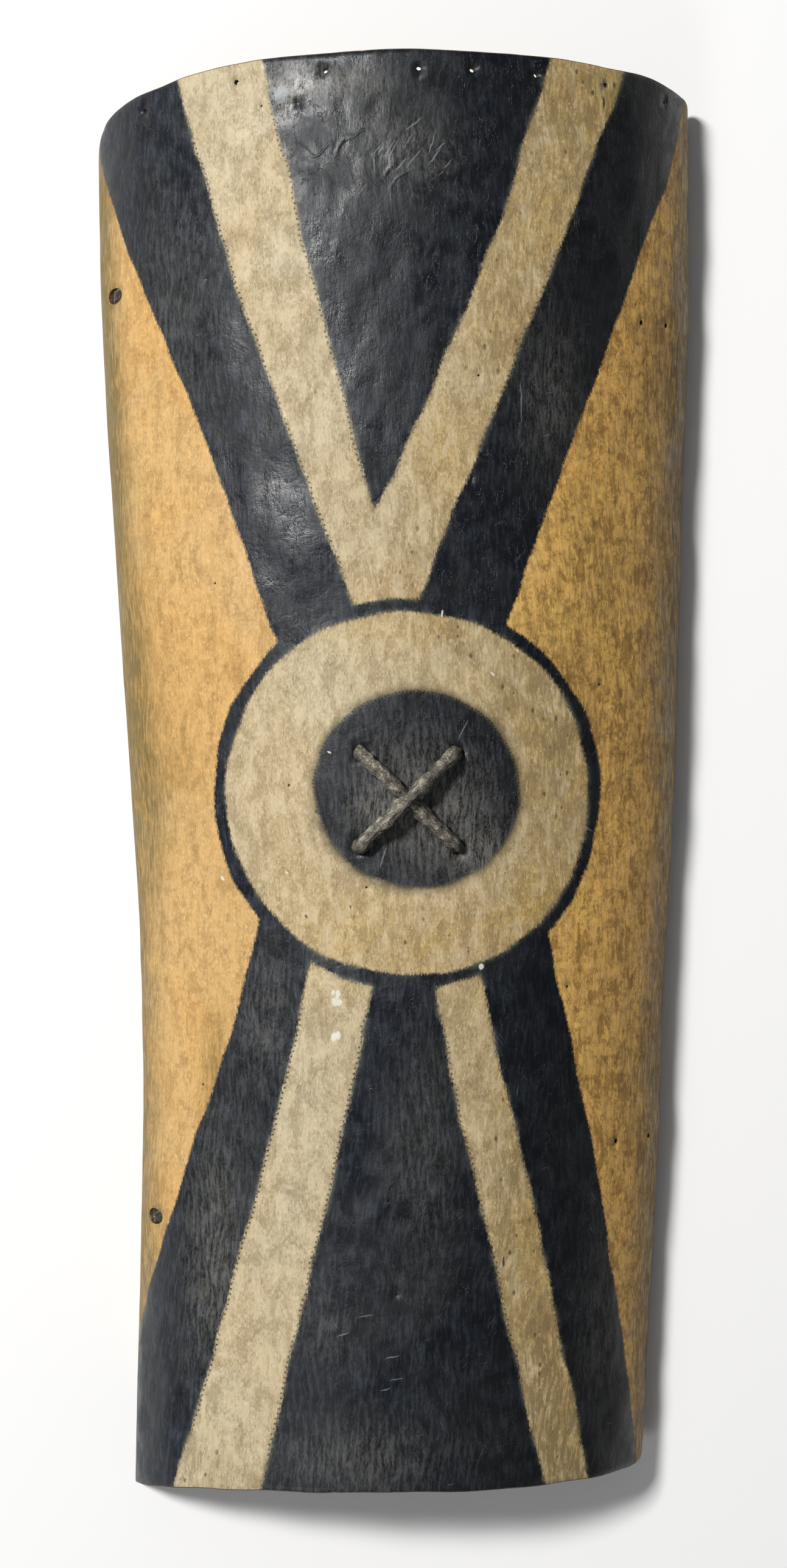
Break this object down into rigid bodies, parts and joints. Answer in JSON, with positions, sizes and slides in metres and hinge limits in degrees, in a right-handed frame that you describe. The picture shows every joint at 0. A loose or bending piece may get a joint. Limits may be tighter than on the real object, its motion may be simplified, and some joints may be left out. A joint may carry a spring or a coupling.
{
  "type": "hide shield",
  "caption": "Tall half-round shield of thick dried hide, painted with bands and a ringed disc, with a crossed rawhide lashing that holds a hand grip behind.",
  "frame": {"origin": "under the middle of the shield's box, on the surface that it lies on", "axes": "+Z out of the painted face, +Y along the shield towards its top end, +X to the right of someone facing the painted face"},
  "size_m": [0.5232, 1.2252, 0.1799],
  "materials": {
    "painted_hide": "waxy blue-black paint with pale beige bands and ochre sides on dried hide, scratched and grimy",
    "rawhide_lashing": "rough twisted rawhide, grey-brown, with pale rubbed high spots",
    "bound_grip": "rolled hide bound with rawhide strip, darkened by handling",
    "hide_pegs": "dull dark twisted hide"
  },
  "bodies": {
    "root": {"hide_sheet": "painted_hide", "lashing_under": "rawhide_lashing", "lashing_over": "rawhide_lashing", "hand_grip": "bound_grip", "edge_peg_upper": "hide_pegs", "edge_peg_lower": "hide_pegs"}
  },
  "joints": []
}
